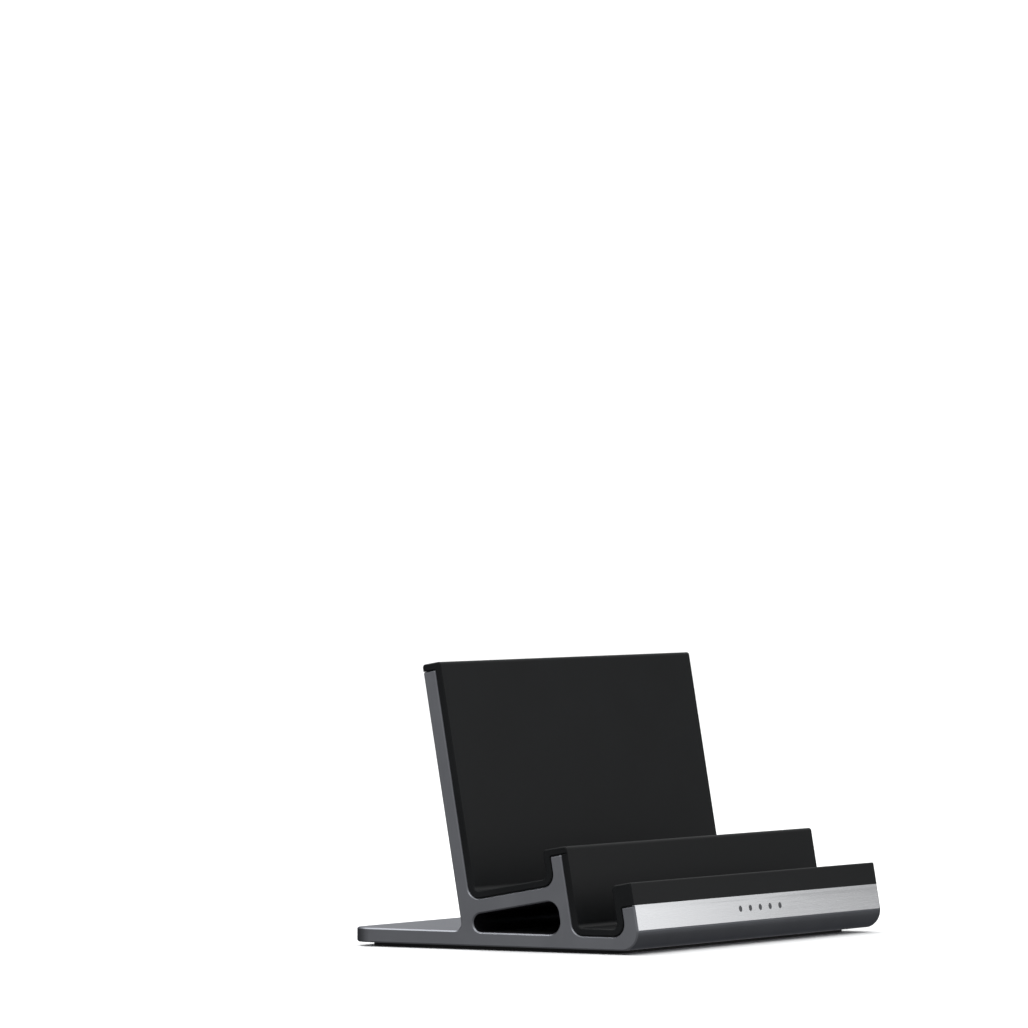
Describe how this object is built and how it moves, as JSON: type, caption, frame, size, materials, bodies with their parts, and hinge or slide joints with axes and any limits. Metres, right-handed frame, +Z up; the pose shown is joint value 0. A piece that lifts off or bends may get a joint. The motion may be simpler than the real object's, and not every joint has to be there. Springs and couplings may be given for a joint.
{
  "type": "two-slot desktop laptop stand",
  "caption": "Passive desk stand: a leaning aluminium extrusion with a wide slot for a closed laptop and a narrow slot for a phone, both lined with black silicone.",
  "frame": {"origin": "centre of the stand's bounding box, on the table surface under the rubber base pad", "axes": "+Z up; +X along the extrusion, to the right as seen from the front; the narrow phone slot and the bright strip face -Y and the walls lean back towards +Y"},
  "size_m": [0.131, 0.091, 0.0768],
  "materials": {
    "grey_anodised_aluminium": "fine bead-blasted, anodised space grey, satin",
    "bright_brushed_strip": "bright, fine lengthwise brushing",
    "black_silicone": "smooth matte moulded silicone",
    "base_rubber": "matte, finely grained",
    "adhesive_film": "thin dark double-sided film"
  },
  "bodies": {
    "root": {"extruded_body": "grey_anodised_aluminium", "front_accent_strip": "bright_brushed_strip", "accent_strip_adhesive": "adhesive_film", "front_slot_liner": "black_silicone", "front_liner_adhesive": "adhesive_film", "rear_slot_liner": "black_silicone", "rear_liner_adhesive": "adhesive_film", "base_pad": "base_rubber", "base_pad_adhesive": "adhesive_film"}
  },
  "joints": []
}
